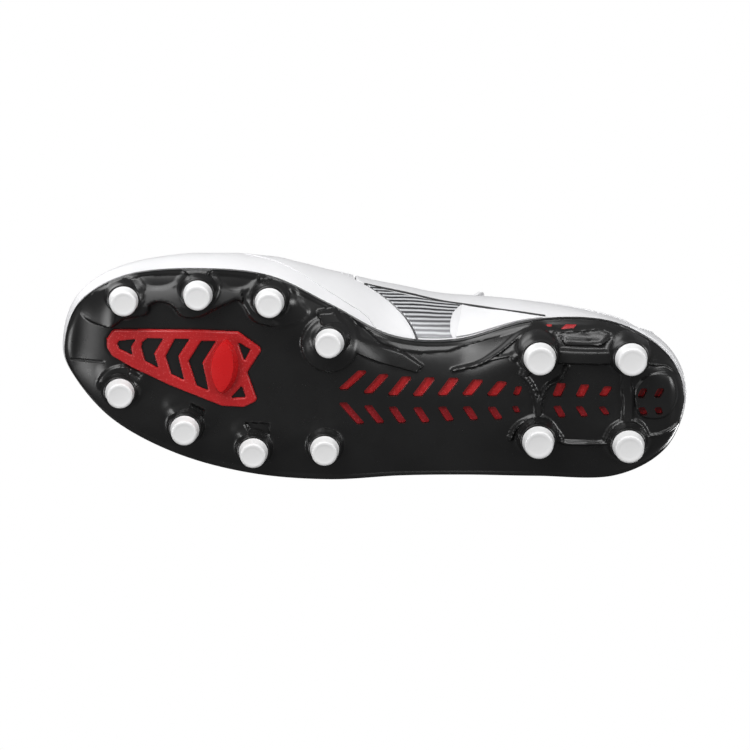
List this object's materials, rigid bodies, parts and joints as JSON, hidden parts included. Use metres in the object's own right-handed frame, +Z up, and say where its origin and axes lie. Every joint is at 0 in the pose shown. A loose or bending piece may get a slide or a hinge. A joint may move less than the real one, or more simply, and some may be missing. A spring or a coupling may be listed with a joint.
{
  "type": "soccer cleat",
  "caption": "Right-foot lace-up soccer cleat: moulded plate with conical studs, inlaid forefoot frame, leather upper, padded collar, folding tongue top and lace.",
  "frame": {"origin": "centre of the bounding box's bottom face, on the ground plane of the studs", "axes": "+X from heel to toe, +Y to the shoe's medial side, +Z up"},
  "size_m": [0.2896, 0.1045, 0.114],
  "materials": {
    "sole_black": "satin gloss moulded nylon",
    "sole_red": "satin moulded",
    "stud_white": "smooth satin urethane",
    "board": "pressed fibre board",
    "sockliner": "knit over foam",
    "foam": "open-cell foam",
    "leather": "fine-grain coated leather",
    "striped_film": "dark and silver printed film",
    "lining": "knitted synthetic lining",
    "lace": "flat woven polyester"
  },
  "bodies": {
    "shoe": {"outsole_plate": "sole_black", "forefoot_insert": "sole_red", "shank_plate": "sole_red", "rim_inlay_front": "sole_red", "rim_inlay_rear": "sole_red", "stud_tip_medial_1": "stud_white", "stud_tip_medial_2": "stud_white", "stud_tip_medial_3": "stud_white", "stud_tip_medial_4": "stud_white", "stud_tip_lateral_1": "stud_white", "stud_tip_lateral_2": "stud_white", "stud_tip_lateral_3": "stud_white", "stud_tip_lateral_4": "stud_white", "stud_tip_heel_1": "stud_white", "stud_tip_heel_2": "stud_white", "stud_tip_heel_3": "stud_white", "stud_tip_heel_4": "stud_white", "insole_board": "board", "sockliner": "sockliner", "toe_puff": "board", "heel_counter": "board", "vamp": "leather", "vamp_wing_medial": "leather", "vamp_wing_lateral": "leather", "quarter_medial": "leather", "quarter_lateral": "leather", "midfoot_panel_medial": "striped_film", "midfoot_panel_lateral": "striped_film", "arch_panel_medial": "leather", "arch_panel_lateral": "leather", "eyestay_medial": "leather", "eyestay_lateral": "leather", "heel_panel": "leather", "vamp_lining": "lining", "heel_lining": "lining", "collar_padding": "foam", "tongue": "leather", "lace": "lace"},
    "folding_tongue_top": {"tongue_top": "leather"}
  },
  "joints": [
    {"name": "tongue_fold", "type": "hinge", "parent": "shoe", "child": "folding_tongue_top", "pos_m": [-0.0315, -0.005, 0.0875], "axis": [0, 1, 0], "range_deg": [-5, 50], "stiffness_Nm_per_rad": 0.02}
  ]
}
